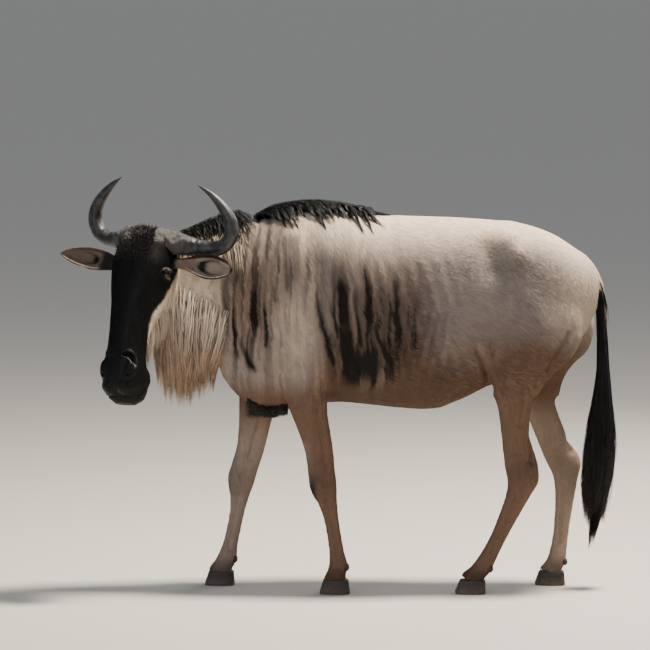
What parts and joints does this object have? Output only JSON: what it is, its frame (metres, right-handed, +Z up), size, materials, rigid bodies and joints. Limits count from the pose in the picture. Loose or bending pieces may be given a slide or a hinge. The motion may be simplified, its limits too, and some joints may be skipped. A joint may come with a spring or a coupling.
{
  "type": "life-size wildebeest figure",
  "caption": "Still, life-size wildebeest in mid-stride: horned head turned to its left, mane, beard, tufted tail, cloven hooves flat on the floor.",
  "frame": {"origin": "on the floor under the middle of the animal's bounding box", "axes": "+X along the body towards the tail, so the animal faces -X; -Y is its left side; +Z up"},
  "size_m": [1.7872, 0.5282, 1.3242],
  "materials": {
    "coat": "short, flat, silvery beige-grey fur over skin, with dark brindled stripes on neck and shoulder",
    "face": "short black fur, brownish on the forehead",
    "tuft": "long, straight black hair",
    "horn": "smooth grey-black horn, rough grey at the boss",
    "hoof": "dark, dusty horn",
    "eye": "wet, near-black brown"
  },
  "bodies": {
    "root": {"head": "face", "horn_left": "horn", "horn_right": "horn", "ear_left": "coat", "ear_right": "coat", "eye_left": "eye", "eye_right": "eye", "neck": "coat", "forequarters": "coat", "barrel": "coat", "hindquarters": "coat", "leg_front_left": "coat", "hoof_front_left_outer": "hoof", "hoof_front_left_inner": "hoof", "dewclaw_front_left_outer": "hoof", "dewclaw_front_left_inner": "hoof", "leg_front_right": "coat", "hoof_front_right_outer": "hoof", "hoof_front_right_inner": "hoof", "dewclaw_front_right_outer": "hoof", "dewclaw_front_right_inner": "hoof", "leg_hind_left": "coat", "hoof_hind_left_outer": "hoof", "hoof_hind_left_inner": "hoof", "dewclaw_hind_left_outer": "hoof", "dewclaw_hind_left_inner": "hoof", "leg_hind_right": "coat", "hoof_hind_right_outer": "hoof", "hoof_hind_right_inner": "hoof", "dewclaw_hind_right_outer": "hoof", "dewclaw_hind_right_inner": "hoof", "tail_dock": "coat", "tail_tuft": "tuft"}
  },
  "joints": []
}
